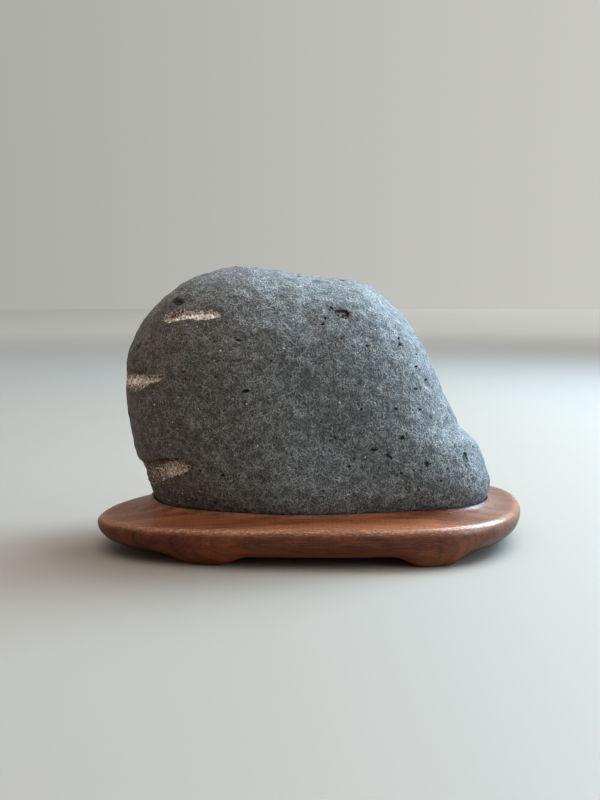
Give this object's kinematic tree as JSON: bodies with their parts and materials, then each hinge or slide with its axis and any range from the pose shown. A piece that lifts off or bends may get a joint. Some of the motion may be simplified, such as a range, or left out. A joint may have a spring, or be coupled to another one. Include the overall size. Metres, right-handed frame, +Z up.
{
  "type": "viewing stone on stand",
  "caption": "Grey-blue basalt viewing stone with pale crystal chips, seated in a low oval carved walnut stand with short feet.",
  "frame": {"origin": "centre of the part's plan box, on the level the feet stand on", "axes": "+Z up, +X along the stand's length towards the stone's low end, +Y towards the back, so -Y is the front with the chips"},
  "size_m": [0.1948, 0.12, 0.1253],
  "materials": {
    "basalt": "matt, fine open grain",
    "walnut": "satin oil"
  },
  "bodies": {
    "root": {"basalt_stone": "basalt", "walnut_stand": "walnut"}
  },
  "joints": []
}
